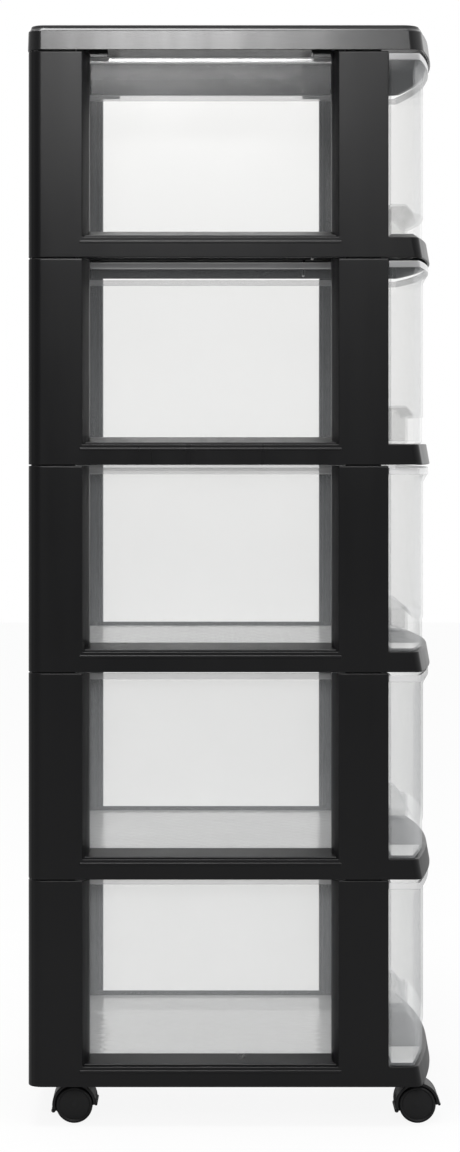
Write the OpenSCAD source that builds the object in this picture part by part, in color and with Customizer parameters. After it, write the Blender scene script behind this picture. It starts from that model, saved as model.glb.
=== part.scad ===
// Five-drawer plastic storage tower on swivel casters. Millimetres.
// X runs across the front, the front faces -Y, and Z is up from the floor.

/* [Tower] */
// Width across the side faces of the frames
tower_w = 306; // [290:1:360]
// Depth from the back to the middle of the bowed front
tower_d = 362; // [340:1:420]
// Height of one frame, which is the pitch of the stack
module_h = 181.5; // [150:0.5:240]
// How far the middle of the front stands ahead of its ends
bow_rise = 17.5; // [12:0.5:24]
// Radius of the front corners in plan
front_corner_r = 8; // [6:0.5:11]
// Radius of the rear corners in plan
rear_corner_r = 12; // [8:0.5:15]
// Wall thickness of the frames and the cover
wall = 2.4; // [2:0.1:2.8]

/* [Frame] */
// Height of the rail round the foot of each frame
rail_h = 17.8; // [16:0.1:22]
// How far the bumper's face leans back from its foot to its top
bumper_lean = 3.2; // [1:0.1:5]
// Depth of the head zone, from the front bow back to the front posts
head_d = 46.3; // [42:0.1:54]
// Length of each front post along the side
front_post_l = 43.5; // [38:0.5:60]
// Length of each rear post along the side
rear_post_l = 47.7; // [40:0.1:60]
// Depth of the posts and sills in from the side face
post_depth = 24; // [22:0.5:28]
// Radius of the front post's outer edge
post_edge_r = 3; // [2.6:0.1:4]
// Width of the sloped reveal round each side window
reveal_w = 5.7; // [3:0.1:8]
// Depth of that reveal in from the side face
reveal_depth = 10; // [7:0.5:12]
// Rise of the sill from the rail to its inner edge
sill_rise = 6.5; // [4:0.1:8]
// Width of the runner ledge inside each sill
ledge_w = 22; // [18:0.5:28]
// Depth of the deck behind the front posts' front face
deck_back = 25; // [18:1:40]
// Width of the ledge along the back rail
rear_ledge_w = 31; // [28:1:40]
// Length of the flange that turns in from each rear post
rear_flange_w = 11; // [8:0.5:16]

/* [Stacking] */
// Height that the spigots reach into the piece above
spigot_h = 8; // [6:0.5:9]
// Width of the spigots
spigot_w = 16.3; // [12:0.1:16.3]
// Clearance round the spigots
spigot_gap = 0.3; // [0.2:0.05:0.5]
// Gap that shows between the stacked pieces
seam = 1; // [0.5:0.1:1.5]

/* [Cover] */
// Height of the top cover
cover_h = 22; // [20:0.5:28]
// How far the cover's front face leans back
cover_lean = 2.4; // [1.5:0.1:5]
// Radius of the cover's front corners in plan
cover_corner_r = 12.5; // [8:0.5:15]
// How much rounder the rim's corners are than the cover's
rim_rounder = 4; // [0:0.5:6]
// Overhang of the cover past the frames
cover_over = 0.6; // [0.2:0.1:1.5]
// Height of the raised rim round the top
cover_rim_h = 3; // [2:0.1:4]
// Width of that rim
cover_rim_w = 3.6; // [2.6:0.1:5]
// Step in from the cover's side to its rim
cover_step = 1; // [0.5:0.1:1.8]
// Length of the clips that hang from the cover
clip_l = 16; // [10:1:24]
// Drop of the clips below the cover
clip_drop = 4.8; // [3:0.1:7]

/* [Drawer] */
// Gap between a drawer's rim and the frame or cover above it
head_gap = 2.9; // [2.9:0.1:12]
// Gap between the drawer's body and the posts on each side
body_gap = 3.5; // [3.2:0.1:8]
// Thickness of the drawer's walls
drawer_wall = 2; // [1.6:0.1:2.4]
// Thickness of the drawer's floor
floor_t = 2.5; // [2:0.1:3.5]
// Gap between the back of the drawer and the back of the tower
drawer_back = 16; // [10:1:30]
// Radius of the drawer's rear corners
drawer_corner_r = 10; // [6:0.5:14]
// Setback of the drawer's front from the bow of the bumper
head_setback = 6; // [5:0.1:8]
// Setback of the drawer's cheeks from the side faces
cheek_setback = 1.5; // [1.1:0.1:3]
// Height of the rim round the top of the drawer
rim_h = 5.7; // [4:0.1:8]
// How far the rim stands out from the body
rim_out = 2.9; // [1.5:0.1:3]
// How far the rim stands out from the head's cheeks
cheek_rim_out = 0.9; // [0.4:0.1:1]
// How far the finger lip flares out from the front
lip_out = 4.5; // [2:0.1:4.6]
// Height of the finger lip's flare
lip_h = 8; // [6:0.5:12]
// Clearance under the drawer and behind its cheeks
run_gap = 0.3; // [0.3:0.05:0.6]

/* [Finger recess] */
// Width of the recess low in the front
recess_w = 174; // [120:1:200]
// Height of the recess above the drawer's underside
recess_h = 32.4; // [24:0.2:44]
// Depth of the recess in from the middle of the front
recess_d = 33; // [24:0.5:33]
// Drop of the recess's roof towards the front
recess_drop = 8.4; // [4:0.2:14]

/* [Stops] */
// Distance that a drawer slides out
drawer_travel = 230; // [150:5:250]
// Height of the stop tabs above the drawer's rim
tab_h = 6.4; // [6:0.1:7.5]
// Width of the stop tabs
tab_w = 8; // [5:0.5:9]
// Thickness of the stop tabs
tab_t = 3; // [2:0.1:5]

/* [Casters] */
// Height of the lowest frame above the floor
caster_h = 35; // [35:0.5:44]
// Distance of each stem in from the side face
stem_inset_x = 28; // [27:0.5:29]
// Distance of each stem from the front and the back
stem_inset_y = 30; // [28:0.5:34]
// Diameter of the wheels
wheel_d = 32.4; // [30:0.1:32.4]
// Width of each wheel
wheel_w = 9; // [7:0.5:11]
// Distance from the stem's axis to the wheels' axle
trail = 10; // [8:0.5:11]
// Thickness of the hood's web between the wheels
web_w = 11; // [10.5:0.1:12]
// Thickness of the hood's fender
fender_t = 2.5; // [1.8:0.1:3]
// Diameter of the stem
stem_d = 8; // [7:0.1:8]
// Diameter of the axle
axle_d = 4; // [3:0.1:5]
// Outer diameter of the stem's socket
socket_d = 11; // [10.5:0.1:11.5]
// Diameter of the boss that holds the socket
boss_d = 14; // [13.8:0.1:15.5]
// Radial clearance between parts that turn
turn_gap = 0.05; // [0.03:0.01:0.1]

/* [Hidden] */
$fn = 64;
bow_fn = 256;
eps = 0.01;
drawer_count = 5;
front_y = -tower_d / 2;
back_y = tower_d / 2;
side_x = tower_w / 2;
bow_r = (pow(side_x, 2) + pow(bow_rise, 2)) / (2 * bow_rise);
bow_y = front_y + bow_r;
// A cone cuts the bumper's face above this small upright land
lean_land = 0.36;
head_y = front_y + head_d;
post_x = side_x - post_depth;
ledge_x = post_x - ledge_w;
rear_jamb_y = back_y - rear_post_l;
front_jamb_y = head_y + front_post_l;
spigot_x = side_x - wall - spigot_gap - spigot_w;
spigot_margin = 3.5;
spigot_wall = 2;
sill_step_in = 0.8;
sill_step_h = 1.6;
drawer_h = module_h - rail_h - run_gap - head_gap;
post_top = module_h - seam;
cap_z = post_top - wall;
body_half = post_x - body_gap;
body_back_y = back_y - drawer_back;
cheek_gap = 0.5;
cheek_y = head_y - max(run_gap, cheek_gap);
cheek_r = 3;
cheek_depth = 14;
tab_inset = 13.5;
tab_outer_x = post_x - tab_inset;
tab_front_y = body_back_y - tab_t;
stop_y = tab_front_y - run_gap - drawer_travel - wall;
stop_clear = 0.5;
recess_back_y = front_y + head_setback + recess_d;
recess_roof_l = 13;
recess_slope_l = 7;
stem_x = side_x - stem_inset_x;
stem_y = tower_d / 2 - stem_inset_y;
boss_gap = 0.8;
rib_t = 2;
wheel_r = wheel_d / 2;
stem_r = stem_d / 2;
axle_r = axle_d / 2;
socket_r = socket_d / 2;
fender_gap = 0.7;
hood_inner_r = wheel_r + fender_gap;
hood_r = hood_inner_r + fender_t;
hood_drop = 0.4;
hood_top = caster_h - hood_drop;
fender_reach = 4.5;
fender_back = 1;
hood_gap = 0.3;
wheel_gap = 0.5;
hood_w = web_w + 2 * (wheel_gap + wheel_w);
collar_r = 6.5;
pin_l = 9.5;
bead_h = 2.5;
bead_out = 0.5;
bead_gap = 0.3;
bead_play = 0.1;
stem_up = 13.2;
socket_over = 0.6;
grip_h = 2;
grip_t = 0.4;
disc_t = 2.4;
tyre_t = 3;
tyre_edge = 1.2;
disc_in = 0.8;
hub_t = 3;
hub_r = axle_r + hub_t;
web_hub_t = 4;
cover_z = caster_h + drawer_count * module_h;
black = "#202124";
clear_plastic = [0.86, 0.89, 0.91, 0.45];
steel = "#b4b7ba";
corners = [["front_left", -1, -1], ["front_right", 1, -1], ["rear_left", -1, 1], ["rear_right", 1, 1]];
caster_parts = ["socket", "stem", "hood", "axle", "wheel_outer", "wheel_inner"];

// ---------------------------------------------------------------- shared plans

// Plan with a bowed front, round corners and a straight back. The front and the sides
// are drawn in by their own amounts. Its parts overlap, so that no seam is left between them.
module bowed_plan(side_in, front_in, rear_y, front_r, rear_r) {
    half = side_x - side_in;
    bow = bow_r - front_in;
    corner_x = half - front_r;
    corner_y = bow_y - sqrt(pow(bow - front_r, 2) - pow(corner_x, 2));
    tangent_x = corner_x * bow / (bow - front_r);
    rear_corner_y = rear_y - rear_r;
    intersection() {
        translate([0, bow_y]) circle(bow, $fn = bow_fn);
        translate([-tangent_x, front_y - bow_rise])
            square([2 * tangent_x, corner_y + front_r - front_y + bow_rise]);
    }
    translate([-half, corner_y]) square([2 * half, rear_corner_y - corner_y]);
    for (side = [-1, 1]) translate([side * corner_x, corner_y]) circle(front_r);
    if (rear_r > 0) {
        translate([rear_r - half, rear_corner_y - rear_r]) square([2 * (half - rear_r), 2 * rear_r]);
        for (side = [-1, 1]) translate([side * (half - rear_r), rear_corner_y]) circle(rear_r);
    }
}

// Plan of the tower, drawn in all round
module tower_plan(inset = 0, corner_r = front_corner_r) {
    bowed_plan(inset, inset, back_y - inset, corner_r - inset, rear_corner_r - inset);
}

// Tower plan drawn in by inset, and at the front by lean as well. Its corners are widened by rounder.
module hollow_plan(inset, lean, corner_r = front_corner_r, rounder = 0) {
    corner_in = inset - rounder;
    bowed_plan(inset, inset + lean, back_y - inset, corner_r - corner_in, rear_corner_r - corner_in);
}

// Tower plan raised to h, with a front face that leans back by lean over the height foot_h
module leaning_block(h, inset, lean, foot_h, corner_r = front_corner_r) {
    foot_r = bow_r - inset + lean_land;
    top_r = foot_r - (lean + lean_land) * h / foot_h;
    intersection() {
        linear_extrude(h) tower_plan(inset, corner_r);
        translate([0, bow_y, 0]) cylinder(h = h, r1 = foot_r, r2 = top_r, $fn = bow_fn);
    }
}

module both_sides() {
    children();
    mirror([1, 0, 0]) children();
}

// ---------------------------------------------------------------- posts

// Solid plan of the front post on the +X side, with a sloped reveal towards the window
module front_post_plan() {
    corner = [side_x - post_edge_r, head_y + post_edge_r];
    polygon([
        [post_x, head_y], [corner[0], head_y], [side_x, corner[1]], [side_x, front_jamb_y],
        [side_x - reveal_depth, front_jamb_y + reveal_w], [post_x, front_jamb_y + reveal_w]
    ]);
    translate(corner) circle(post_edge_r);
}

// Hollow of that post, open towards the drawer
module front_post_hollow() {
    reveal_y = front_jamb_y + reveal_w - wall;
    polygon([
        [post_x - wall, head_y + wall], [side_x - wall, head_y + wall],
        [side_x - wall, front_jamb_y - wall], [side_x - reveal_depth, reveal_y],
        [post_x - wall, reveal_y]
    ]);
}

// Ground that the rear post and its inward flange take up inside the tower's plan
module rear_post_ground() {
    polygon([
        [post_x, rear_jamb_y - reveal_w], [side_x - reveal_depth, rear_jamb_y - reveal_w],
        [side_x, rear_jamb_y], [side_x + wall, rear_jamb_y], [side_x + wall, back_y + wall],
        [post_x - rear_flange_w, back_y + wall], [post_x - rear_flange_w, back_y - wall],
        [post_x, back_y - wall]
    ]);
}

module rear_post_hollow() {
    reveal_y = rear_jamb_y - reveal_w + wall;
    intersection() {
        tower_plan(wall);
        polygon([
            [post_x - wall, reveal_y], [side_x - reveal_depth, reveal_y],
            [side_x, rear_jamb_y + wall], [side_x, back_y], [post_x - wall, back_y]
        ]);
    }
}

// Plans of the stacking spigots, drawn in by inset
module spigot_plan(inset = 0) {
    intersection() {
        tower_plan(wall + spigot_gap + inset);
        for (span = [
            [head_y + wall + spigot_margin, front_jamb_y - wall - spigot_margin],
            [rear_jamb_y + wall + spigot_margin, back_y]
        ])
            translate([spigot_x + inset, span[0] + inset])
                square([spigot_w + wall, span[1] - span[0] - 2 * inset]);
    }
}

module spigot_ring(h) {
    linear_extrude(h) difference() {
        spigot_plan();
        spigot_plan(spigot_wall);
    }
}

module front_post() {
    translate([0, 0, rail_h]) difference() {
        linear_extrude(post_top - rail_h) front_post_plan();
        translate([0, 0, -eps]) linear_extrude(cap_z - rail_h + eps) front_post_hollow();
    }
}

// Pads that rest on the spigots below, hanging from top_z
module spigot_pads(top_z) {
    translate([0, 0, spigot_h]) spigot_ring(top_z - spigot_h);
}

// ---------------------------------------------------------------- frame

// Section of the sill: a dark step at the rail, then a slope up to the inner edge
module sill_section() {
    polygon([
        [side_x - sill_step_in, rail_h - eps], [side_x - wall, rail_h + sill_step_h],
        [post_x, rail_h + sill_rise], [post_x, rail_h - eps]
    ]);
}

module sill_hollow_section() {
    sill_x = side_x - 1.5 * wall;
    polygon([
        [sill_x, rail_h - 2 * wall], [sill_x, rail_h + sill_step_h - wall],
        [post_x + wall, rail_h + sill_rise - wall], [post_x + wall, rail_h - 2 * wall]
    ]);
}

module along_side(from_y, to_y) {
    translate([0, to_y, 0]) rotate([90, 0, 0]) linear_extrude(to_y - from_y) children();
}

// Boss for a caster's socket, with ribs to the rails above the spigots
module caster_boss() {
    rib_z = spigot_h + wall;
    rib_h = rail_h - wall / 2 - rib_z;
    difference() {
        union() {
            translate([stem_x, stem_y, boss_gap]) cylinder(h = rail_h - wall / 2 - boss_gap, d = boss_d);
            translate([stem_x, stem_y - rib_t / 2, rib_z]) cube([side_x - wall / 2 - stem_x, rib_t, rib_h]);
            translate([stem_x - rib_t / 2, stem_y, rib_z]) cube([rib_t, back_y - wall / 2 - stem_y, rib_h]);
        }
        translate([stem_x, stem_y, 0]) cylinder(h = rail_h - wall, r = socket_r + turn_gap);
    }
}

// The front bosses sit inside the bowed bumper, so their ribs end at its wall
module front_boss() {
    intersection() {
        mirror([0, 1, 0]) caster_boss();
        linear_extrude(rail_h) hollow_plan(wall / 2, bumper_lean);
    }
}

// Rib that a drawer's stop tab meets, from top_z down to just above the seam
module stop_rib(top_z) {
    translate([ledge_x, stop_y, stop_clear]) cube([post_x - ledge_x + wall, wall, top_z - stop_clear]);
}

// Bumper, rails and rear posts in one, still solid
module carcass() {
    difference() {
        leaning_block(post_top, 0, bumper_lean, rail_h);
        translate([0, 0, rail_h]) linear_extrude(post_top) difference() {
            square(2 * tower_d, center = true);
            both_sides() rear_post_ground();
        }
    }
}

module frame_shape() {
    difference() {
        union() {
            carcass();
            both_sides() along_side(front_jamb_y, rear_jamb_y) sill_section();
        }
        translate([0, 0, -eps]) linear_extrude(rail_h - wall + eps) hollow_plan(wall, bumper_lean);
        both_sides() {
            along_side(front_jamb_y + reveal_w, rear_jamb_y - reveal_w) sill_hollow_section();
            translate([0, 0, rail_h]) linear_extrude(cap_z - rail_h) rear_post_hollow();
        }
        translate([-ledge_x, head_y + deck_back, 0])
            cube([2 * ledge_x, back_y - rear_ledge_w - head_y - deck_back, rail_h + wall]);
    }
    both_sides() {
        front_post();
        translate([0, 0, cap_z + wall / 2]) spigot_ring(module_h + spigot_h - cap_z - wall / 2);
        spigot_pads(rail_h - wall / 2);
        caster_boss();
        front_boss();
        stop_rib(rail_h - wall / 2);
    }
}

module frame(level) {
    color(black) translate([0, 0, caster_h + (level - 1) * module_h]) frame_shape();
}

// ---------------------------------------------------------------- cover

// Clips that hang beside the window's top corners
module cover_clips(top_z) {
    clip_x = side_x - reveal_depth - 2 * wall;
    for (y = [front_jamb_y + reveal_w + run_gap, rear_jamb_y - reveal_w - run_gap - clip_l])
        translate([clip_x, y, -clip_drop]) cube([wall, clip_l, clip_drop + top_z]);
}

module top_cover() {
    skirt_h = cover_h - cover_rim_h;
    plate_z = skirt_h - wall;
    color(black) translate([0, 0, cover_z]) {
        difference() {
            union() {
                leaning_block(skirt_h, -cover_over, cover_lean, cover_h, cover_corner_r);
                translate([0, 0, plate_z]) linear_extrude(wall + cover_rim_h)
                    hollow_plan(cover_step - cover_over, cover_lean, cover_corner_r, rim_rounder);
            }
            translate([0, 0, -eps]) linear_extrude(plate_z + eps)
                hollow_plan(wall - cover_over, cover_lean, cover_corner_r);
            translate([0, 0, skirt_h]) linear_extrude(cover_rim_h + eps)
                hollow_plan(cover_rim_w, cover_lean, cover_corner_r, rim_rounder);
        }
        both_sides() {
            spigot_pads(plate_z + wall / 2);
            stop_rib(plate_z + wall / 2);
            cover_clips(plate_z + wall / 2);
        }
    }
}

// ---------------------------------------------------------------- drawer

// Plan of a drawer: a bowed head with cheeks, and a narrower body behind it
module drawer_plan(inset = 0, body_out = 0, cheek_out = 0) {
    difference() {
        bowed_plan(
            cheek_setback + inset - cheek_out, head_setback + inset - cheek_out,
            cheek_y - inset + 2 * cheek_r, cheek_r, 0
        );
        translate([-tower_w, cheek_y - inset]) square([2 * tower_w, tower_d]);
    }
    half = body_half - inset + body_out;
    corner = drawer_corner_r - inset + body_out;
    rear = body_back_y - inset + body_out;
    front = cheek_y - inset - cheek_r;
    translate([-half, front]) square([2 * half, rear - corner - front]);
    translate([corner - half, rear - 2 * corner]) square([2 * (half - corner), 2 * corner]);
    for (side = [-1, 1]) translate([side * (half - corner), rear - corner]) circle(corner);
}

// Space of the finger recess, grown by skin for the wall round it
module recess_space(skin = 0) {
    roof_end = recess_back_y - recess_roof_l;
    slope_end = roof_end - recess_slope_l;
    low_roof = recess_h - recess_drop + skin;
    translate([-recess_w / 2 - skin, 0, 0]) rotate([90, 0, 90]) linear_extrude(recess_w + 2 * skin) polygon([
        [front_y - bow_rise, -1], [recess_back_y + skin, -1], [recess_back_y + skin, recess_h + skin],
        [roof_end, recess_h + skin], [slope_end, low_roof], [front_y - bow_rise, low_roof]
    ]);
}

// Finger lip: the front flares out up to the rim. Its section turns about the bow's centre.
module finger_lip() {
    base_r = bow_r - head_setback;
    flare_z = drawer_h - rim_h - lip_h;
    root = drawer_wall / 2;
    intersection() {
        translate([0, bow_y, 0]) rotate_extrude($fn = bow_fn) polygon([
            [base_r - root, flare_z - root * lip_h / lip_out], [base_r + lip_out, flare_z + lip_h],
            [base_r + lip_out, drawer_h], [base_r - root, drawer_h]
        ]);
        linear_extrude(drawer_h) difference() {
            bowed_plan(cheek_setback, head_setback - lip_out - root, cheek_y + 2 * cheek_r, cheek_r, 0);
            translate([-tower_w, head_y - cheek_depth]) square([2 * tower_w, tower_d]);
        }
    }
}

module drawer_shape() {
    difference() {
        union() {
            linear_extrude(drawer_h) drawer_plan();
            translate([0, 0, drawer_h - rim_h]) linear_extrude(rim_h) drawer_plan(0, rim_out, cheek_rim_out);
            finger_lip();
        }
        difference() {
            translate([0, 0, floor_t]) linear_extrude(module_h) drawer_plan(drawer_wall);
            recess_space(drawer_wall);
        }
        recess_space();
    }
    both_sides()
        translate([tab_outer_x - tab_w, tab_front_y, drawer_h - rim_h]) cube([tab_w, tab_t, rim_h + tab_h]);
}

module drawer(level) {
    foot_z = caster_h + (level - 1) * module_h + rail_h + run_gap;
    color(clear_plastic) translate([0, 0, foot_z]) drawer_shape();
}

// ---------------------------------------------------------------- casters

// Places a caster piece: its own origin is on the floor below its stem
module at_corner(corner) {
    translate([corner[1] * stem_x, corner[2] * stem_y, 0]) children();
}

// Extrudes a side outline, drawn round the axle, to a width across the wheels
module across(w) {
    translate([-w / 2, -trail, wheel_r]) rotate([90, 0, 90]) linear_extrude(w) children();
}

module caster_socket() {
    color(black) translate([0, 0, caster_h + boss_gap]) difference() {
        cylinder(h = stem_up + socket_over, r = socket_r);
        translate([0, 0, -eps]) cylinder(h = stem_up + socket_over + 2 * eps, r = stem_r + grip_t + turn_gap);
    }
}

// Stem with its collar, the pin that the hood turns on, and a bead that keeps the hood on
module caster_stem() {
    grip_z = caster_h + boss_gap + stem_up - 2 * grip_h;
    color(steel) {
        translate([0, 0, hood_top + hood_gap])
            cylinder(h = caster_h + boss_gap - hood_top - hood_gap, r = collar_r);
        translate([0, 0, hood_top - pin_l]) cylinder(h = pin_l + boss_gap + stem_up, r = stem_r);
        translate([0, 0, hood_top - pin_l - bead_h]) cylinder(h = bead_h, r = stem_r + bead_out);
        translate([0, 0, grip_z]) cylinder(h = grip_h, r = stem_r + grip_t);
    }
}

// Side outline that the fender and the web share: it reaches lower at the stem's side
module hood_outline(r) {
    intersection() {
        circle(r);
        union() {
            translate([0, -fender_reach]) square([2 * hood_r, 2 * hood_r]);
            translate([-2 * hood_r, fender_back]) square([2 * hood_r + eps, 2 * hood_r]);
        }
        translate([-2 * hood_r, -hood_r]) square([4 * hood_r, hood_r + hood_top - wheel_r]);
    }
}

module caster_hood() {
    color(black) difference() {
        union() {
            across(hood_w) difference() {
                hood_outline(hood_r);
                circle(hood_inner_r);
            }
            across(web_w) {
                hood_outline(hood_r);
                circle(hub_r + web_hub_t);
            }
        }
        translate([0, 0, hood_top - pin_l - eps]) cylinder(h = pin_l + 2 * eps, r = stem_r + turn_gap);
        translate([0, 0, hood_top - pin_l - bead_h - bead_gap])
            cylinder(h = bead_h + bead_gap + bead_play, r = stem_r + bead_out + turn_gap);
        across(hood_w + 2 * eps) circle(axle_r + turn_gap);
    }
}

module caster_axle() {
    color(steel) across(hood_w - 2 * (disc_t + disc_in)) circle(axle_r);
}

// One wheel as a cup: tyre, outer disc and hub round a blind bore
module caster_wheel(side) {
    inner_u = web_w / 2 + wheel_gap;
    outer_u = inner_u + wheel_w;
    disc_u = outer_u - disc_in;
    color(black) translate([0, -trail, wheel_r]) rotate([0, side * 90, 0]) rotate_extrude($fn = 96) polygon([
        [axle_r + turn_gap, inner_u], [hub_r, inner_u], [hub_r, disc_u - disc_t],
        [wheel_r - tyre_t, disc_u - disc_t], [wheel_r - tyre_t, inner_u], [wheel_r - tyre_edge, inner_u],
        [wheel_r, inner_u + tyre_edge], [wheel_r, outer_u - tyre_edge], [wheel_r - tyre_edge, outer_u],
        [wheel_r - tyre_t, outer_u], [wheel_r - tyre_t, disc_u], [0, disc_u],
        [0, disc_u - disc_t / 2], [axle_r + turn_gap, disc_u - disc_t / 2]
    ]);
}

module caster_piece(piece, side) {
    if (piece == "socket") caster_socket();
    if (piece == "stem") caster_stem();
    if (piece == "hood") caster_hood();
    if (piece == "axle") caster_axle();
    if (piece == "wheel_outer") caster_wheel(side);
    if (piece == "wheel_inner") caster_wheel(-side);
}

top_cover();
for (level = [1 : drawer_count]) {
    frame(level);
    drawer(level);
}
for (corner = corners) for (piece = caster_parts)
    at_corner(corner) caster_piece(piece, corner[1]);
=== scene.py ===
import math

import bmesh
import bpy
from mathutils import Matrix, Vector


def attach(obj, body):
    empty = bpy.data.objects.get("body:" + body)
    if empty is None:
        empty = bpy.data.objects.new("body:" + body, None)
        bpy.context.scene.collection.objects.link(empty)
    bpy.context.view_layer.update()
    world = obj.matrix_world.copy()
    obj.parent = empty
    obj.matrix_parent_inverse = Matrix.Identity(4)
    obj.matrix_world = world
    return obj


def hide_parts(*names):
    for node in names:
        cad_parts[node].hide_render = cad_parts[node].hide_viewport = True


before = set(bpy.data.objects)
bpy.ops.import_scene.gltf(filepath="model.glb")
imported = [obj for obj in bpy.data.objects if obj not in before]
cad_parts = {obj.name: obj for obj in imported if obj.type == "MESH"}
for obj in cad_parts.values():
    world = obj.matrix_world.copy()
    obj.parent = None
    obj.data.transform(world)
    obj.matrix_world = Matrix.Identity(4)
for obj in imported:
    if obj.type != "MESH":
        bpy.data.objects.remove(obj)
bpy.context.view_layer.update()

# ------------------------------------------------------------------------------------------- frames
# Five equal black frames stack into the tower. Each is one polypropylene moulding: a bowed bumper and
# rails round its foot, a ledge for the drawer, and four hollow posts. Spigots on the post tops locate the
# next one.
MM = 0.001
tower_w, tower_d, pitch = 306, 362, 181.5
side_x, back_y, front_y = tower_w / 2, tower_d / 2, -tower_d / 2
bow_rise, bow_step = 17.5, 20
bow_r = (side_x ** 2 + bow_rise ** 2) / (2 * bow_rise)
bow_y = front_y + bow_r
wall = 2.4
rail_h, bumper_lean, bumper_r, back_r = 17.8, 3.2, 8, 12
post_top, post_draft, post_edge = pitch - 1, (0.2, 1.6), 3
front_post = -134.7, -91.2
rear_post = 133.3
post_x, ledge_x = 129, 107
reveal_w, reveal_in = 5.7, 143
flange_x = 118
deck_hole = -109.7, 150
spigot_x, spigot_top = (134, 150.3), pitch + 8
spigot_y = (-128.8, -97.1), (139.2, 178.3)
spigot_foot, spigot_wall, spigot_r, pad_foot = post_top - 1.2, 2, 3, 8
stem_x, stem_y = 125, 151
boss_r, boss_foot = (5.55, 7), 0.8
rib_from, rib_half, rib_foot = 6.5, 1, 10.4
stop_y, stop_foot = -70.7, 0.5
groove_x, groove_deep = (149.6, 151.2), 2.6
sill_x, sill_foot, sill_step, sill_rise = 149.6, 4, 1.6, 6.5
lap = 1  # how far a block reaches into the wall that it stands on
frame_z = 35
levels = range(1, 6)


def outline(bm, z, half, bow_in, back_points, bow_stops=()):
    """A closed line at height z: the bow across the front, then the points (x, y, corner radius) round
    the right side and the back. The left side mirrors them. half is where the bow ends, and bow_in draws
    the bow back. Hands back its corners and those that are to be rounded."""
    radius = bow_r - bow_in
    stops = sorted({-half, half, *bow_stops})
    angles = [math.asin(x / radius) for x in stops]
    start = bm.verts.new((-half, bow_y - math.sqrt(radius ** 2 - half ** 2), z))
    ring, tip = [start], start
    for a, b in zip(angles, angles[1:]):
        steps = 2 * round((b - a) * bow_r / bow_step)
        known = set(bm.verts)
        bmesh.ops.spin(bm, geom=[tip], cent=(0, bow_y, z), axis=(0, 0, 1), angle=b - a, steps=steps)
        arc = sorted((v for v in bm.verts if v not in known), key=lambda v: v.co.x)
        ring += arc
        tip = arc[-1]
    round_off = []
    for x, y, r in back_points + [(-x, y, r) for x, y, r in reversed(back_points)]:
        v = bm.verts.new((x, y, z))
        bm.edges.new((tip, v))
        ring.append(v)
        tip = v
        if r:
            round_off.append((v, r))
    bm.edges.new((tip, start))
    return ring, round_off


def round_corner(bm, v, radius, segments=6):
    """Rounds one corner of a line to a radius."""
    a, b = (e.other_vert(v).co - v.co for e in v.link_edges)
    bmesh.ops.bevel(bm, geom=[v], offset=radius / math.tan(a.angle(b) / 2), offset_type="OFFSET",
                    segments=segments, profile=0.5, affect="VERTICES", material=-1)


def verts_in(geom):
    """The corners among what an operator hands back."""
    return [g for g in geom if isinstance(g, bmesh.types.BMVert)]


def middle(face):
    return face.calc_center_median()


def level(face):
    """True for a face that lies flat."""
    return abs(face.normal.z) > 0.5


def box(bm, lo, hi):
    """A closed block between two corners."""
    made = bmesh.ops.create_cube(bm, size=1)["verts"]
    bmesh.ops.scale(bm, vec=[b - a for a, b in zip(lo, hi)], verts=made)
    bmesh.ops.translate(bm, vec=[(a + b) / 2 for a, b in zip(lo, hi)], verts=made)


def drawn(bm, faces, along, keep=False):
    """Draws faces along a vector. The faces they start from stay or go."""
    made = bmesh.ops.extrude_face_region(bm, geom=faces, use_keep_orig=keep)["geom"]
    bmesh.ops.translate(bm, vec=along, verts=verts_in(made))
    if not keep:
        bmesh.ops.delete(bm, geom=[f for f in faces if f.is_valid], context="FACES")


def cut(bm, faces, point, normal):
    """Cuts these faces along a plane and hands back all their parts. Their edges and corners go in
    once each and in order, because a set's order would change from run to run."""
    geom = dict.fromkeys([*faces, *(e for f in faces for e in f.edges), *(v for f in faces for v in f.verts)])
    done = bmesh.ops.bisect_plane(bm, geom=list(geom), plane_co=point, plane_no=normal)
    return [g for g in done["geom"] if isinstance(g, bmesh.types.BMFace)]


def in_order(bm):
    """Sorts corners, edges and faces by their places, because some operators leave them in an order that
    changes from run to run."""
    for elements, place in ((bm.verts, lambda v: v.co), (bm.faces, middle),
                            (bm.edges, lambda e: e.verts[0].co + e.verts[1].co)):
        ranked = sorted(elements, key=lambda part: tuple(round(c, 3) for c in place(part)))
        elements.sort(key={part: rank for rank, part in enumerate(ranked)}.get)


def mirrored(bm):
    """Adds the mirror image across the middle."""
    bmesh.ops.mirror(bm, geom=bm.verts[:] + bm.edges[:] + bm.faces[:], axis="X", merge_dist=0.01)


def near(value, target, slack=0.05):
    """True where two measures agree but for rounding."""
    return abs(value - target) < slack


def finished(name, bm, edge=0.5, angle=35, segments=2):
    """Turns millimetres into metres, rounds the hard edges and makes the object."""
    in_order(bm)
    bmesh.ops.scale(bm, vec=(MM, MM, MM), verts=bm.verts[:])
    mesh = bpy.data.meshes.new(name)
    bm.to_mesh(mesh)
    bm.free()
    mesh.shade_smooth()
    piece = bpy.data.objects.new(name, mesh)
    bpy.context.scene.collection.objects.link(piece)
    if edge:
        bevel = piece.modifiers.new("edge", "BEVEL")
        bevel.width, bevel.segments, bevel.profile = edge * MM, segments, 0.5
        bevel.limit_method, bevel.angle_limit = "ANGLE", math.radians(angle)
        bevel.use_clamp_overlap = False
        bevel.miter_outer = "MITER_ARC"
    shading = piece.modifiers.new("shading", "WEIGHTED_NORMAL")
    shading.keep_sharp = True
    return piece


def copied(piece, name, offset):
    """Another of the same piece, moved in its mesh by an offset in millimetres."""
    twin = piece.copy()
    twin.name, twin.data = name, piece.data.copy()
    twin.data.transform(Matrix.Translation(Vector(offset) * MM))
    bpy.context.scene.collection.objects.link(twin)
    return twin


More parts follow.
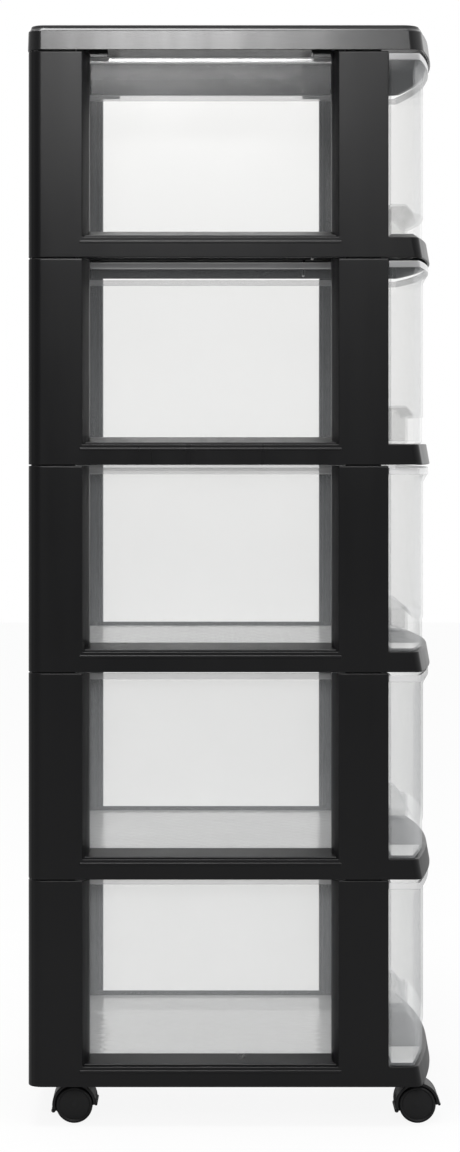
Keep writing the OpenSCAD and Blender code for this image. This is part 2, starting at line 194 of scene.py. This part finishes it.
def prism(bm, points, along):
    """A closed block: the outline through the points, drawn along a vector."""
    drawn(bm, [bm.faces.new([bm.verts.new(p) for p in points])], along, keep=True)


def spigot(bm, along, foot, top):
    """A hollow block with rounded corners, as long as its span along Y."""
    (left, right), (low, high) = spigot_x, along
    loop = [bm.verts.new((x, y, foot)) for x, y in ((left, low), (right, low), (right, high), (left, high))]
    for a, b in zip(loop, loop[1:] + loop[:1]):
        bm.edges.new((a, b))
    for v in loop:
        round_corner(bm, v, spigot_r, 3)
    loose = [e for e in bm.edges if not e.link_faces]
    face = bmesh.ops.contextual_create(bm, geom=loose)["faces"][0]
    ring = bmesh.ops.inset_region(bm, faces=[face], thickness=spigot_wall, use_boundary=True,
                                   use_even_offset=True)["faces"]
    bmesh.ops.delete(bm, geom=[face], context="FACES_ONLY")
    drawn(bm, ring, (0, 0, top - foot), keep=True)


def turned(bm, centre, profile, axis="Z", segments=32):
    """A closed ring: a section of (radius, height) points turned once round an axis."""
    turn = {"X": Matrix.Rotation(math.pi / 2, 4, "Y"), "Z": Matrix.Identity(4)}[axis]
    place = Matrix.Translation(centre) @ turn
    loop = [bm.verts.new(place @ Vector((r, 0, h))) for r, h in profile]
    edges = [bm.edges.new(pair) for pair in zip(loop, loop[1:] + loop[:1])]
    bmesh.ops.spin(bm, geom=loop + edges, cent=centre, axis=turn @ Vector((0, 0, 1)), angle=math.tau,
                   steps=segments, use_merge=True)


def joined(bm, other):
    """Adds another mesh to this one."""
    mesh = bpy.data.meshes.new("part")
    other.to_mesh(mesh)
    other.free()
    bm.from_mesh(mesh)
    bpy.data.meshes.remove(mesh)


class Wire:
    """One output of a shader's nodes, so that its maths is written as Python."""

    def __init__(self, tree, socket=None):
        self.tree, self.socket = tree, socket

    def node(self, kind, settings=None, sockets=None, out=0):
        """Adds a node: its settings first, then the values or wires of its sockets."""
        made = self.tree.nodes.new(kind)
        for key, value in (settings or {}).items():
            setattr(made, key, value)
        for key, value in (sockets or {}).items():
            if isinstance(value, Wire):
                self.tree.links.new(value.socket, made.inputs[key])
            else:
                made.inputs[key].default_value = value
        return Wire(self.tree, made.outputs[out])

    def output(self, name):
        """Another output of the same node."""
        return Wire(self.tree, self.socket.node.outputs[name])

    def maths(self, operation, *values):
        return self.node("ShaderNodeMath", {"operation": operation}, dict(enumerate(values)))

    def __add__(self, other):
        return self.maths("ADD", self, other)

    def __sub__(self, other):
        return self.maths("SUBTRACT", self, other)

    def __rsub__(self, other):
        return self.maths("SUBTRACT", other, self)

    def __mul__(self, other):
        return self.maths("MULTIPLY", self, other)

    def __pow__(self, other):
        return self.maths("POWER", self, other)

    __radd__, __rmul__ = __add__, __mul__

    def noise(self, scale, detail=3, stretch=(1, 1, 1)):
        """Noise over the piece, drawn out by a stretch."""
        at = self.node("ShaderNodeMapping", {}, {
            "Vector": self.node("ShaderNodeTexCoord", out="Object"), "Scale": stretch})
        return self.node("ShaderNodeTexNoise", {}, {"Vector": at, "Scale": scale, "Detail": detail})

    def at_least(self, low):
        """This value, never below another."""
        return self.maths("MAXIMUM", self, low)

    def between(self, low, high):
        """This value, from 0 to 1, set between two others."""
        return self * (high - low) + low

    def tinted(self, dark, light):
        """A colour between two, by this value."""
        return self.node("ShaderNodeMix", {"data_type": "RGBA"},
                         {0: self, 6: (*dark, 1), 7: (*light, 1)}, out=2)


def finish(name):
    """A new finish: its first wire and the node that its surface goes to."""
    material = bpy.data.materials.new(name)
    material.use_nodes = True
    tree = material.node_tree
    tree.nodes.clear()
    return material, Wire(tree), tree.nodes.new("ShaderNodeOutputMaterial")


def surface(wire, output, shader):
    """Sends a shader to the finish's surface."""
    wire.tree.links.new(shader.socket, output.inputs["Surface"])


def moulded(name, dark, light, rough, gloss, flow, warp):
    """Black moulded plastic: a fine eroded grain, faint flow lines down the walls, an uneven satin, and
    walls that have sunk and warped by some tenths of a millimetre. The heights are in millimetres."""
    material, wire, output = finish(name)
    cloud = wire.noise(scale=9, detail=4)
    lines = wire.noise(scale=60, detail=2, stretch=(1, 1, 0.06))
    grain = wire.noise(scale=1400, detail=2)
    sunk = wire.noise(scale=14, detail=1)
    height = grain * 0.012 + lines * 0.1 * flow + sunk * warp
    surface(wire, output, wire.node("ShaderNodeBsdfPrincipled", {}, {
        "Base Color": cloud.tinted(dark, light), "Roughness": cloud.between(*rough) + lines * flow,
        "Specular IOR Level": gloss,
        "Normal": wire.node("ShaderNodeBump", {}, {"Height": height, "Strength": 1.0, "Distance": MM})}))
    return material


def window_plane(side, jamb, toward):
    """A point on the slanted reveal beside a window, and its normal."""
    return (side * side_x, jamb, 0), (toward * reveal_w * side, side_x - reveal_in, 0)


def in_post(x, y):
    """True where a post stands on the deck."""
    x, slant = abs(x), min(1, (side_x - abs(x)) / (side_x - reveal_in)) * reveal_w
    if x < flange_x or (x < post_x and y < back_y - wall):
        return False
    return front_post[0] < y < front_post[1] + slant or y > rear_post - slant


# The outer skin: the deck, cut along everything that stands on it or opens in it, and the skirt round it
bm = bmesh.new()
ring, corners = outline(bm, rail_h, side_x, bumper_lean, [
    (side_x, front_post[0], 0), (side_x, front_post[1], 0), (side_x, rear_post, 0),
    (side_x, back_y, back_r), (flange_x, back_y, 0)])
bow_end = max((v for v in ring if v.co.y < front_post[0] - 1), key=lambda v: v.co.x)
for v, r in corners + [(ring[0], bumper_r), (bow_end, bumper_r)]:
    round_corner(bm, v, r)
deck = bmesh.ops.contextual_create(bm, geom=bm.edges[:])["faces"]
for y in (front_post[0], front_post[1] + reveal_w, rear_post - reveal_w, back_y - wall, *deck_hole):
    deck = cut(bm, deck, (0, y, 0), (0, 1, 0))
for x in (post_x, ledge_x, *groove_x):
    for side in (-1, 1):
        deck = cut(bm, deck, (side * x, 0, 0), (1, 0, 0))
for side in (-1, 1):
    deck = cut(bm, deck, *window_plane(side, front_post[1], 1))
    deck = cut(bm, deck, *window_plane(side, rear_post, -1))
rim = [e for e in bm.edges if e.is_boundary]
skirt = verts_in(bmesh.ops.extrude_edge_only(bm, edges=rim)["geom"])
bmesh.ops.translate(bm, vec=(0, 0, -rail_h), verts=skirt)
bumper = [v for v in skirt if v.co.y < front_post[0] - 5]
bmesh.ops.translate(bm, vec=(0, -bumper_lean, 0), verts=bumper)

# The posts rise from their ground on the deck, open towards the drawer
grounds = [f for f in bm.faces if near(middle(f).z, rail_h) and level(f) and in_post(*middle(f).xy)]
drawn(bm, grounds, (0, 0, post_top - rail_h))
cut(bm, [f for f in bm.faces if middle(f).z > rail_h + 1 and not level(f)],
    (0, 0, post_top - post_draft[1]), (0, 0, 1))
for v in bm.verts:
    if near(v.co.z, post_top) and near(abs(v.co.x), side_x):
        v.co.x -= math.copysign(post_draft[0], v.co.x)


def open_side(face):
    """True for a post's walls on the drawer's side, where the real post is open."""
    c = middle(face)
    if c.z < rail_h + 1 or level(face):
        return False
    x, y = abs(c.x), c.y
    return near(x, post_x) or near(x, flange_x) or (near(y, back_y - wall) and x < post_x)


bmesh.ops.delete(bm, geom=[f for f in bm.faces if open_side(f)], context="FACES")
hole = [f for f in bm.faces if abs(middle(f).x) < ledge_x and deck_hole[0] < middle(f).y < deck_hole[1]]
bmesh.ops.delete(bm, geom=hole, context="FACES")
drawn(bm, [f for f in bm.faces if level(f) and near(middle(f).z, rail_h)
           and groove_x[0] < abs(middle(f).x) < groove_x[1] and front_post[1] < middle(f).y < rear_post],
      (0, 0, -groove_deep))
bmesh.ops.remove_doubles(bm, verts=bm.verts[:], dist=0.005)
# Corners on whole thousandths and parts in order: the flat faces join in the same way each run
for v in bm.verts:
    v.co = [round(c, 3) for c in v.co]
bm.normal_update()
in_order(bm)
bmesh.ops.dissolve_limit(bm, angle_limit=0.01, verts=bm.verts[:], edges=bm.edges[:],
                         use_dissolve_boundaries=False)
bmesh.ops.recalc_face_normals(bm, faces=bm.faces[:])
bmesh.ops.solidify(bm, geom=bm.faces[:], thickness=wall)
edges = [e for e in bm.edges if e.calc_length() > post_top - rail_h - 1
         and all(near(abs(v.co.x), side_x) and near(v.co.y, front_post[0]) for v in e.verts)]
bmesh.ops.bevel(bm, geom=edges, offset=post_edge, segments=5, profile=0.5, affect="EDGES", material=-1)

# Blocks that stand in the skin: sills under the windows, spigots, pads, drawer stops and caster bosses
solids = bmesh.new()
deck_under = rail_h - lap
prism(solids, [(sill_x, front_post[1], rail_h - sill_foot), (sill_x, front_post[1], rail_h + sill_step),
               (post_x, front_post[1], rail_h + sill_rise), (post_x, front_post[1], rail_h - sill_foot)],
      (0, rear_post - front_post[1], 0))
for span in spigot_y:
    spigot(solids, span, spigot_foot, spigot_top)
    spigot(solids, span, pad_foot, deck_under)
box(solids, (ledge_x, stop_y, stop_foot), (post_x + wall, stop_y + wall, deck_under))
for y in (-stem_y, stem_y):
    turned(solids, (stem_x, y, 0), [(boss_r[0], boss_foot), (boss_r[1], boss_foot), (boss_r[1], deck_under),
                                    (boss_r[0], deck_under)])
    box(solids, (stem_x + rib_from, y - rib_half, rib_foot), (side_x - lap, y + rib_half, deck_under))
mirrored(solids)
bmesh.ops.recalc_face_normals(solids, faces=solids.faces[:])
joined(bm, solids)
bmesh.ops.translate(bm, vec=(0, 0, frame_z), verts=bm.verts[:])
frame_piece = finished("frame_moulding_1", bm, edge=0.7, segments=3)
frame_piece.data.materials.append(moulded(
    "black_plastic", dark=(0.005, 0.005, 0.0055), light=(0.008, 0.008, 0.0085), rough=(0.22, 0.28),
    gloss=0.23, flow=0.1, warp=0.12))
for number in levels:
    piece = frame_piece
    if number > 1:
        piece = copied(frame_piece, f"frame_moulding_{number}", (0, 0, pitch * (number - 1)))
    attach(piece, "tower")
    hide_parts(f"frame_{number}")


# ------------------------------------------------------------------------------------------- drawers
# Five clear polystyrene drawers, each one injection moulding 2 mm thick. A bowed head as wide as the
# tower closes the front. The narrower body slides between the posts on the ledges, and two tabs at its
# back stop it.
drawer_z = 53.1
drawer_wall, floor_t = 2, 2.5
drawer_h, rim_h = 160.5, 5.7
head_side, head_in = side_x - 1.5, 6
cheek_y, body_x, body_back = -135.2, 125.5, 165
body_rim, cheek_rim = 2.9, 0.9
lip_out, lip_h, lip_wall = 4.5, 8, 1
foot_r, body_r, head_r = 2, 10, 3
ring_gap = 0.3  # between rings of nearly one height, so that they bridge without a twist
recess_x, recess_back, recess_roof, recess_low = 87, -142, 32.4, 24
roof_l, slope_l = 13, 7
tab_x, tab_w, tab_deep, tab_sink, tab_top = 111.5, 8, 3, 0.3, 6.4
weave_w, weave_l, weave_h, weave_edge = 9, 18, 0.7, 1.2
weave_side, weave_front = 12, 6
bow_back = -150


def loop_of(bm, z, half, bow_in, back_points, corner_r, bow_stops=()):
    """A closed ring of edges round a bowed piece, with its corners rounded."""
    known = set(bm.edges)
    ring, corners = outline(bm, z, half, bow_in, back_points, bow_stops)
    bow = [v for v in ring if v.co.y < bow_back or v is ring[0]]
    for v, r in corners + [(ring[0], corner_r), (max(bow, key=lambda v: (v.co.x, -v.co.y)), corner_r)]:
        round_corner(bm, v, r)
    return [e for e in bm.edges if e not in known]


def drawer_loop(bm, z, inset=0, body_out=0, cheek_out=0, front_out=0, stop=recess_x):
    """One level of the drawer's wall."""
    half = head_side - inset + cheek_out
    body, back = body_x - inset + body_out, body_back - inset + body_out
    return loop_of(bm, z, half, head_in + inset - front_out, [
        (half, cheek_y - inset, 0), (body, cheek_y - inset, 0), (body, back, body_r - inset + body_out)],
                   head_r - inset, (-stop, stop))


def bridged(bm, loops):
    """Joins each ring of edges to the next with a wall."""
    for a, b in zip(loops, loops[1:]):
        bmesh.ops.bridge_loops(bm, edges=a + b)


def pressed_recess(bm, floor, grow):
    """Presses the finger recess up into one side of the floor and of the front above it."""
    low, back, roof, half = floor_t if grow else 0, recess_back + grow, recess_roof + grow, recess_x + grow
    ceiling = recess_low + grow
    front = [f for f in cut(bm, [floor], (0, back, low), (0, 1, 0)) if middle(f).y < back]
    for x in (-half, half):
        front = cut(bm, front, (x, 0, low), (1, 0, 0))
    gone = [f for f in front if abs(middle(f).x) < half]
    gone += [f for f in bm.faces if f not in gone and abs(middle(f).x) < half and middle(f).y < back
             and low < middle(f).z < ceiling]
    bmesh.ops.delete(bm, geom=gone, context="FACES")
    edge = [e for e in bm.edges if all(near(v.co.y, back) and near(v.co.z, low) and abs(v.co.x) < half + 1
                                       for v in e.verts)]
    for step in ((0, 0, roof - low), (0, -roof_l - grow, 0), (0, -slope_l, ceiling - roof)):
        made = bmesh.ops.extrude_edge_only(bm, edges=edge)["geom"]
        edge = [g for g in made if isinstance(g, bmesh.types.BMEdge)
                and abs(g.verts[0].co.x - g.verts[1].co.x) > 1]
        bmesh.ops.translate(bm, vec=step, verts=verts_in(made))
    tips = list(edge[0].verts)
    arc = [e for e in bm.edges if e.is_boundary and all(near(v.co.z, ceiling) and v.co.y < tips[0].co.y - 1
                                                        for v in e.verts)]
    sides = []
    for tip in tips:
        end = min((v for e in arc for v in e.verts), key=lambda v: (v.co - tip.co).length)
        sides.append(bm.edges.new((tip, end)))
    bmesh.ops.contextual_create(bm, geom=edge + arc + sides)
    for x in (-half, half):
        bmesh.ops.contextual_create(bm, geom=[
            e for e in bm.edges if len(e.link_faces) == 1 and all(near(v.co.x, x) for v in e.verts)])


def woven(bm, floor):
    """Cuts the floor into offset cells and raises each to a low cushion, as a woven pattern."""
    z = middle(floor).z
    half, front = body_x - weave_side, recess_back + drawer_wall + weave_front
    back = body_back - weave_side
    cells = [floor]
    for y in (front, back):
        cells = cut(bm, cells, (0, y, z), (0, 1, 0))
    for x in (-half, half):
        cells = cut(bm, cells, (x, 0, z), (1, 0, 0))
    inside = [f for f in cells if abs(middle(f).x) < half and front < middle(f).y < back]
    columns = round(2 * half / weave_w)
    edges_x = [-half + i * 2 * half / columns for i in range(columns + 1)]
    for x in edges_x[1:-1]:
        inside = cut(bm, inside, (x, 0, z), (1, 0, 0))
    cushions = []
    for i, (a, b) in enumerate(zip(edges_x, edges_x[1:])):
        column = [f for f in inside if a < middle(f).x < b]
        y = front + weave_l * (1 if i % 2 else 0.5)
        while y < back - 3:
            column = cut(bm, column, (0, y, z), (0, 1, 0))
            y += weave_l
        cushions += column
    bmesh.ops.inset_individual(bm, faces=cushions, thickness=weave_edge, depth=0, use_even_offset=True)
    bmesh.ops.poke(bm, faces=cushions, offset=weave_h, center_mode="MEAN")


bm = bmesh.new()
foot = foot_r * (1 - math.sqrt(0.5))
rim_z, inner_x = drawer_h - rim_h, recess_x + drawer_wall
rings = [drawer_loop(bm, 0, foot_r), drawer_loop(bm, foot, foot), drawer_loop(bm, foot_r),
         drawer_loop(bm, recess_low), drawer_loop(bm, rim_z - lip_h),
         drawer_loop(bm, rim_z, front_out=lip_out),
         drawer_loop(bm, rim_z + ring_gap, 0, body_rim, cheek_rim, lip_out),
         drawer_loop(bm, drawer_h, 0, body_rim, cheek_rim, lip_out)]
rings += [drawer_loop(bm, drawer_h - ring_gap, drawer_wall, front_out=lip_out - lip_wall, stop=inner_x),
          drawer_loop(bm, rim_z - lip_h - drawer_wall, drawer_wall, stop=inner_x),
          drawer_loop(bm, recess_low + drawer_wall, drawer_wall, stop=inner_x),
          drawer_loop(bm, floor_t, drawer_wall, stop=inner_x)]
bottom = bmesh.ops.contextual_create(bm, geom=rings[0])["faces"][0]
top = bmesh.ops.contextual_create(bm, geom=rings[-1])["faces"][0]
bridged(bm, rings)
pressed_recess(bm, top, drawer_wall)
pressed_recess(bm, bottom, 0)
bmesh.ops.remove_doubles(bm, verts=bm.verts[:], dist=0.01)
bmesh.ops.dissolve_degenerate(bm, dist=0.005, edges=bm.edges[:])
bmesh.ops.recalc_face_normals(bm, faces=bm.faces[:])
woven(bm, max((f for f in bm.faces if near(middle(f).z, floor_t)), key=lambda f: f.calc_area()))
for side in (-1, 1):
    box(bm, (side * tab_x - tab_w / 2, body_back - tab_deep, drawer_h - tab_sink),
        (side * tab_x + tab_w / 2, body_back, drawer_h + tab_top))
for f in bm.faces:
    z = middle(f).z
    woven_part = f.normal.z > 0.8 and floor_t - 0.1 < z < floor_t + 2 * weave_h
    f.material_index = 1 if z > rim_z + 0.1 else 2 if woven_part else 0
bmesh.ops.translate(bm, vec=(0, 0, drawer_z), verts=bm.verts[:])
drawer_piece = finished("drawer_moulding_1", bm, edge=0.4)


def polystyrene(name, low, high, edge, milk, tint=(0.987, 0.986, 0.983)):
    """Clear plastic: what lies behind it, seen through a thin milky haze. Its share grows towards the walls'
    edges by a weight and a power. It also grows from the high drawers to the low ones as painted shade, which
    darkens the view through the lower drawers."""
    material, wire, output = finish(name)
    cloud = wire.noise(scale=14, detail=3)
    ripple = wire.noise(scale=22, detail=2, stretch=(1, 1, 0.35))
    facing = wire.node("ShaderNodeLayerWeight", {}, {"Blend": 0.5}, out="Facing")
    place = wire.node("ShaderNodeSeparateXYZ", {}, {0: wire.node("ShaderNodeTexCoord", out="Object")})
    # Painted shade: the haze's share rises with the drop in height from the highest drawer to the lowest, so
    # the lower drawers read darker
    shade_by_height = wire.node("ShaderNodeMapRange", {}, {
        "Value": place.output("Z"), "From Min": 0.85, "From Max": 0.25, "To Min": low, "To Max": high})
    body = wire.node("ShaderNodeBsdfPrincipled", {}, {
        "Base Color": cloud.tinted(*milk), "Roughness": cloud.between(0.1, 0.18), "IOR": 3.2,
        "Normal": wire.node("ShaderNodeBump", {}, {"Height": ripple, "Strength": 0.35, "Distance": 0.0005})})
    see_through = wire.node("ShaderNodeBsdfTransparent", {}, {"Color": (*tint, 1)})
    share = shade_by_height * cloud.between(0.85, 1.15) + edge[0] * facing ** edge[1]
    surface(wire, output, wire.node("ShaderNodeMixShader", {}, {0: share, 1: see_through, 2: body}))
    return material


# The walls, the rim and the woven floor, in the order of the faces' numbers
# low and high are each finish's haze share at the highest and at the lowest drawer; the rise between them is
# painted shade
for plastic in (
        polystyrene("clear_polystyrene", low=0.046, high=0.12, edge=(0.4, 6),
                    milk=((0.84, 0.87, 0.9), (0.9, 0.93, 0.96))),
        polystyrene("polystyrene_rim", low=0.42, high=0.46, edge=(0.5, 2),
                    milk=((0.9, 0.9, 0.91), (0.95, 0.95, 0.96))),
        polystyrene("polystyrene_floor", low=0.3, high=0.34, edge=(0.8, 1.3),
                    milk=((0.96, 0.96, 0.96), (1, 1, 1)))):
    drawer_piece.data.materials.append(plastic)
for number in levels:
    piece = drawer_piece
    if number > 1:
        piece = copied(drawer_piece, f"drawer_moulding_{number}", (0, 0, pitch * (number - 1)))
    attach(piece, f"drawer_{number}")
    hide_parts(f"drawer_{number}")


# ------------------------------------------------------------------------------------------- cover
# The top cover is one black polypropylene moulding that snaps over the highest frame's spigots. A raised
# rim runs round its flat top, and two clips hang from each side into the window's corners.
cover_z, cover_over, cover_lean, side_lean = 942.5, 0.6, 2.4, 0.5
skirt_h, cover_h, rim_w = 19, 22, 3.6
cover_corner, rim_rounder, edge_h, edge_w, rim_slope = 12.5, 4, 2.3, 1.5, 1.0
plate_z, foot_in, bow_stop = skirt_h - wall, 0.4, 125
clip_x, clip_drop, clip_l = (138.2, 140.6), 4.8, 16
clip_y = -85.2, 111.3


def cover_loop(bm, z, inset, lean, rounder=0):
    """One level of the cover's skin. lean draws the bow back, and rounder adds to the corners' radii."""
    half, back, more = side_x - inset, back_y - inset, rounder - inset
    return loop_of(bm, z, half, inset + lean, [(half, back, back_r + more)], cover_corner + more,
                   (-bow_stop, bow_stop))


bm = bmesh.new()
inner, upper, edge_z = wall - cover_over, side_lean - cover_over, skirt_h - edge_h
rings = [cover_loop(bm, plate_z, inner, cover_lean), cover_loop(bm, foot_in, inner, 0),
         cover_loop(bm, 0, -cover_over, 0), cover_loop(bm, edge_z, upper, cover_lean * edge_z / cover_h),
         cover_loop(bm, skirt_h, upper + edge_w, cover_lean, rim_rounder),
         cover_loop(bm, cover_h, upper + edge_w + rim_slope, cover_lean, rim_rounder),
         cover_loop(bm, cover_h - ring_gap, rim_w, cover_lean, rim_rounder),
         cover_loop(bm, skirt_h, rim_w, cover_lean, rim_rounder)]
bmesh.ops.contextual_create(bm, geom=rings[0])
bmesh.ops.contextual_create(bm, geom=rings[-1])
bridged(bm, rings)
bmesh.ops.recalc_face_normals(bm, faces=bm.faces[:])
solids = bmesh.new()
into_plate = plate_z + lap
for span in spigot_y:
    spigot(solids, span, pad_foot, into_plate)
box(solids, (ledge_x, stop_y, stop_foot), (post_x + wall, stop_y + wall, into_plate))
for y in clip_y:
    box(solids, (clip_x[0], y, -clip_drop), (clip_x[1], y + clip_l, into_plate))
mirrored(solids)
bmesh.ops.recalc_face_normals(solids, faces=solids.faces[:])
joined(bm, solids)
bmesh.ops.translate(bm, vec=(0, 0, cover_z), verts=bm.verts[:])
cover_piece = finished("cover_moulding", bm, edge=0.5, angle=15, segments=3)
cover_piece.data.materials.append(moulded(
    "cover_plastic", dark=(0.008, 0.008, 0.0085), light=(0.012, 0.012, 0.0125), rough=(0.15, 0.2),
    gloss=0.44, flow=0.1, warp=0.3))
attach(cover_piece, "tower")
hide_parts("top_cover")


# ------------------------------------------------------------------------------------------- casters
# Four twin-wheel casters. A black nylon hood turns on a steel stem that is pressed into the frame's
# socket, and two hollow wheels turn on a steel pin through its web.
wheel_r, trail = 16.2, 10
hood_in, hood_out, hood_top, hood_half = 16.9, 19.4, 34.6, 15
hood_span, hood_foot, foot_slope = (-16, 178), -5.2, -0.16
beads = (18.3, -5, 1.9, 0), (-19.2, 0.6, 1.3, 0.3)  # along Y, height, radius and how much shorter each side
web_half, web_in = 5.5, 0.4
wheel_in, wheel_out, bore_r, hub_r = 6, 15, 2.05, 5
corners = {"front_left": (-1, -1), "front_right": (1, -1), "rear_left": (-1, 1), "rear_right": (1, 1)}


def curved_wall(bm, radii, span, half, steps):
    """A curved wall round the axle: its section spun from one angle to another, closed at both ends."""
    start, end = (math.radians(a) for a in span)
    section = [bm.verts.new((x, r * math.cos(start), r * math.sin(start)))
               for x, r in ((-half, radii[0]), (half, radii[0]), (half, radii[1]), (-half, radii[1]))]
    bmesh.ops.spin(bm, geom=[bm.faces.new(section)], cent=(0, 0, 0), axis=(1, 0, 0), angle=end - start,
                   steps=steps, use_duplicate=False)


def bar(bm, centre, radius, half, segments=12):
    """A round bar across the caster."""
    made = bmesh.ops.create_cone(bm, cap_ends=True, segments=segments, radius1=radius, radius2=radius,
                                 depth=2 * half)["verts"]
    bmesh.ops.rotate(bm, verts=made, cent=(0, 0, 0), matrix=Matrix.Rotation(math.pi / 2, 3, "Y"))
    bmesh.ops.translate(bm, verts=made, vec=centre)


def hood_mesh(x, y):
    """The hood round its axle, cut flat under the frame and slanting above the floor."""
    bm = bmesh.new()
    curved_wall(bm, (hood_in, hood_out), hood_span, hood_half, 40)
    bar(bm, (0, 0, 0), hood_out - web_in, web_half, 64)
    for height, normal in ((hood_top - wheel_r, (0, 0, 1)), (hood_foot, (0, foot_slope, -1))):
        bmesh.ops.bisect_plane(bm, geom=bm.verts[:] + bm.edges[:] + bm.faces[:], clear_outer=True,
                               plane_co=(0, 0, height), plane_no=normal)
        bmesh.ops.holes_fill(bm, edges=[e for e in bm.edges if e.is_boundary])
    for along, height, radius, shorter in beads:
        bar(bm, (0, along, height), radius, hood_half - shorter)
    bmesh.ops.recalc_face_normals(bm, faces=bm.faces[:])
    bmesh.ops.translate(bm, vec=(x, y - trail, wheel_r), verts=bm.verts[:])
    return bm


def wheel_mesh(x, y, side):
    """One hollow wheel: a rounded tyre, a sunk outer disc with a ring at its edge, and a hub."""
    bm = bmesh.new()
    r, out = wheel_r, wheel_out
    hollow = [(bore_r, wheel_in), (hub_r, wheel_in), (hub_r, out - 3.2), (r - 3, out - 3.2),
              (r - 3, wheel_in)]
    tread = [(r - 1.2, wheel_in), (r - 0.35, wheel_in + 0.35), (r, wheel_in + 1.2), (r, out - 1.6),
             (r - 0.5, out - 0.5), (r - 1.6, out)]
    disc = [(r - 2.4, out), (r - 2.7, out - 1), (r - 3.4, out - 1), (r - 3.7, out - 0.6), (4, out - 0.45),
            (3.6, out - 0.15), (0.02, out - 0.1)]
    bore = [(0.02, out - 2), (bore_r, out - 2)]
    turned(bm, (0, 0, 0), hollow + tread + disc + bore, axis="X", segments=48)
    if side < 0:
        bmesh.ops.scale(bm, vec=(-1, 1, 1), verts=bm.verts[:])
    bmesh.ops.remove_doubles(bm, verts=bm.verts[:], dist=0.001)
    bmesh.ops.recalc_face_normals(bm, faces=bm.faces[:])
    bmesh.ops.translate(bm, vec=(x, y - trail, wheel_r), verts=bm.verts[:])
    return bm


caster_plastic = moulded("caster_plastic", dark=(0.005, 0.005, 0.0055), light=(0.009, 0.009, 0.0095),
                         rough=(0.28, 0.4), gloss=0.3, flow=0.1, warp=0)
socket_plastic = moulded("socket_plastic", dark=(0.01, 0.01, 0.01), light=(0.02, 0.02, 0.02),
                         rough=(0.4, 0.5), gloss=0.3, flow=0.1, warp=0)
plated, wire, output = finish("plated_steel")
turning = wire.noise(scale=30, detail=3, stretch=(1, 1, 24))
surface(wire, output, wire.node("ShaderNodeBsdfPrincipled", {}, {
    "Base Color": turning.tinted((0.38, 0.39, 0.4), (0.56, 0.56, 0.57)), "Metallic": 1.0,
    "Roughness": turning.between(0.22, 0.4),
    "Normal": wire.node("ShaderNodeBump", {}, {"Height": turning, "Strength": 0.2, "Distance": 0.0001})}))

for corner, (sx, sy) in corners.items():
    x, y = sx * stem_x, sy * stem_y
    hood = finished(f"{corner}_hood_shell", hood_mesh(x, y), edge=0.45)
    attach(hood, f"{corner}_caster")
    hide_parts(f"{corner}_hood")
    pieces = [hood]
    for place, side in (("outer", sx), ("inner", -sx)):
        wheel = finished(f"{corner}_{place}_roller", wheel_mesh(x, y, side), edge=0)
        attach(wheel, f"{corner}_{place}_wheel")
        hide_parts(f"{corner}_wheel_{place}")
        pieces.append(wheel)
    for piece in pieces:
        piece.data.materials.append(caster_plastic)
    for part, material in (("stem", plated), ("axle", plated), ("socket", socket_plastic)):
        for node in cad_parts.values():
            if node.name == f"{corner}_{part}":
                for slot in node.material_slots:
                    slot.material = material


# ------------------------------------------------------------------------------------------- studio
# A photographer's white room: a floor that the camera sees as white paper, a white surround that is dark
# behind the camera, a tall softbox beside the camera and one over the tower. The camera is square to the
# left side.
room_half, paper_share = 6000, 0.82
floor_mesh = bmesh.new()
bmesh.ops.create_grid(floor_mesh, x_segments=2, y_segments=2, size=room_half)
floor = finished("studio_floor", floor_mesh, edge=0)
pale, wire, output = finish("pale_floor")
paper = wire.noise(scale=5, detail=3)
lit = wire.node("ShaderNodeBsdfPrincipled", {}, {
    "Base Color": paper.tinted((0.35, 0.35, 0.35), (0.39, 0.39, 0.39)), "Roughness": paper.between(0.6, 0.75),
    "Specular IOR Level": 0.2})
glow = wire.node("ShaderNodeEmission", {}, {"Color": (1, 1, 1, 1), "Strength": 1.1})
seen = wire.node("ShaderNodeLightPath", out="Is Camera Ray")
surface(wire, output, wire.node("ShaderNodeMixShader", {}, {0: paper_share * seen, 1: lit, 2: glow}))
floor.data.materials.append(pale)

world = bpy.data.worlds.new("white_room")
bpy.context.scene.world = world
world.use_nodes = True
wire = Wire(world.node_tree)
world.node_tree.nodes.clear()
along_x = wire.node("ShaderNodeSeparateXYZ", {}, {0: wire.node("ShaderNodeTexCoord", out="Generated")})
camera_side = (along_x * -1).at_least(0)
rear, top = along_x.output("Y").at_least(0), along_x.output("Z").at_least(0)
room = (1.0 - 0.85 * camera_side ** 1.5 - 0.6 * rear + 0.2 * top).at_least(0.1)
seen = wire.node("ShaderNodeLightPath", out="Is Camera Ray")
strength = seen + (1 - seen) * room
background = wire.node("ShaderNodeBackground", {}, {"Color": (1, 1, 1, 1), "Strength": strength})
wire.tree.links.new(background.socket, wire.tree.nodes.new("ShaderNodeOutputWorld").inputs["Surface"])

# Each light's place, the way it looks, its width and height in metres and its power in watts
for name, place, aim, size, power in (
        ("side_softbox", (-2.4, 0.09, 1.66), (2.25, 0, -0.75), (0.46, 0.8), 27),
        ("top_softbox", (-0.35, 0.27, 2.4), (0.1, 0, -1), (1.0, 0.6), 32)):
    light = bpy.data.objects.new(name, bpy.data.lights.new(name, "AREA"))
    light.data.shape, light.data.energy = "RECTANGLE", power
    light.data.size, light.data.size_y = size
    light.matrix_world = Matrix.Translation(place) @ Vector(aim).to_track_quat("-Z", "Y").to_matrix().to_4x4()
    light.visible_camera = False
    bpy.context.scene.collection.objects.link(light)

camera = bpy.data.objects.new("camera", bpy.data.cameras.new("camera"))
camera.data.lens, camera.data.sensor_width = 80.4, 36
camera.data.shift_x, camera.data.shift_y = 0.0125, -0.1199
camera.matrix_world = Matrix.Translation((-2.403, 0.0166, 0.603)) @ Matrix.Rotation(
    -math.pi / 2, 4, "Z") @ Matrix.Rotation(math.pi / 2, 4, "X")
bpy.context.scene.collection.objects.link(camera)
bpy.context.scene.camera = camera
bpy.context.scene.view_settings.view_transform = "Standard"
